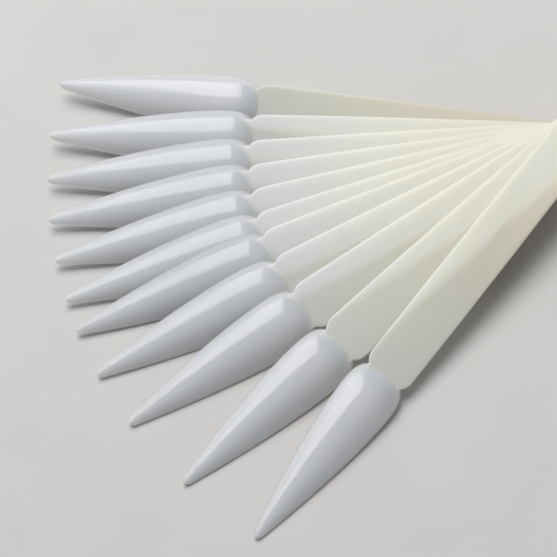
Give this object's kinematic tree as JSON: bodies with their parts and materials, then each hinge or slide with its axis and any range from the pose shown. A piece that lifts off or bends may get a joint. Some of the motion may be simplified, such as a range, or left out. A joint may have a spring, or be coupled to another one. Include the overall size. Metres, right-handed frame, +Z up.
{
  "type": "nail art display stick fan",
  "caption": "Fan of identical stiletto nail-tip display sticks on one binding post; each stick swings about the post, from a shingled fan to an open star.",
  "frame": {"origin": "middle of the flat base of the binding post, on the post's axis", "axes": "+Z up along the post; the fan opens towards -Y, with the lowest stick on the -X side; +X to the right seen from the nail tips"},
  "size_m": [0.1262, 0.1252, 0.0153],
  "materials": {
    "stick_plastic": "milky white, glossy nail and satin strip",
    "post_steel": "nickel plated"
  },
  "bodies": {
    "post": {"post_barrel": "post_steel", "post_screw": "post_steel"},
    "stick_01": {"stick_01": "stick_plastic"},
    "stick_02": {"stick_02": "stick_plastic"},
    "stick_03": {"stick_03": "stick_plastic"},
    "stick_04": {"stick_04": "stick_plastic"},
    "stick_05": {"stick_05": "stick_plastic"},
    "stick_06": {"stick_06": "stick_plastic"},
    "stick_07": {"stick_07": "stick_plastic"},
    "stick_08": {"stick_08": "stick_plastic"},
    "stick_09": {"stick_09": "stick_plastic"},
    "stick_10": {"stick_10": "stick_plastic"},
    "stick_11": {"stick_11": "stick_plastic"}
  },
  "joints": [
    {"name": "swing_01", "type": "hinge", "parent": "post", "child": "stick_01", "pos_m": [0, 0, 0.0016], "axis": [0, 0, 1], "continuous": true},
    {"name": "swing_02", "type": "hinge", "parent": "stick_01", "child": "stick_02", "pos_m": [0, 0, 0.0027], "axis": [0, 0, 1], "range_deg": [-2, 20.4]},
    {"name": "swing_03", "type": "hinge", "parent": "stick_02", "child": "stick_03", "pos_m": [0, 0, 0.0038], "axis": [0, 0, 1], "range_deg": [-0.9, 21.5]},
    {"name": "swing_04", "type": "hinge", "parent": "stick_03", "child": "stick_04", "pos_m": [0, 0, 0.0049], "axis": [0, 0, 1], "range_deg": [-0.5, 21.9]},
    {"name": "swing_05", "type": "hinge", "parent": "stick_04", "child": "stick_05", "pos_m": [0, 0, 0.006], "axis": [0, 0, 1], "range_deg": [-0.5, 21.9]},
    {"name": "swing_06", "type": "hinge", "parent": "stick_05", "child": "stick_06", "pos_m": [0, 0, 0.0071], "axis": [0, 0, 1], "range_deg": [-0.4, 22]},
    {"name": "swing_07", "type": "hinge", "parent": "stick_06", "child": "stick_07", "pos_m": [0, 0, 0.0082], "axis": [0, 0, 1], "range_deg": [0, 23]},
    {"name": "swing_08", "type": "hinge", "parent": "stick_07", "child": "stick_08", "pos_m": [0, 0, 0.0093], "axis": [0, 0, 1], "range_deg": [-1.2, 21.2]},
    {"name": "swing_09", "type": "hinge", "parent": "stick_08", "child": "stick_09", "pos_m": [0, 0, 0.0104], "axis": [0, 0, 1], "range_deg": [-2.3, 20.1]},
    {"name": "swing_10", "type": "hinge", "parent": "stick_09", "child": "stick_10", "pos_m": [0, 0, 0.0115], "axis": [0, 0, 1], "range_deg": [-4.7, 17.7]},
    {"name": "swing_11", "type": "hinge", "parent": "stick_10", "child": "stick_11", "pos_m": [0, 0, 0.0126], "axis": [0, 0, 1], "range_deg": [-5.3, 17.1]}
  ]
}
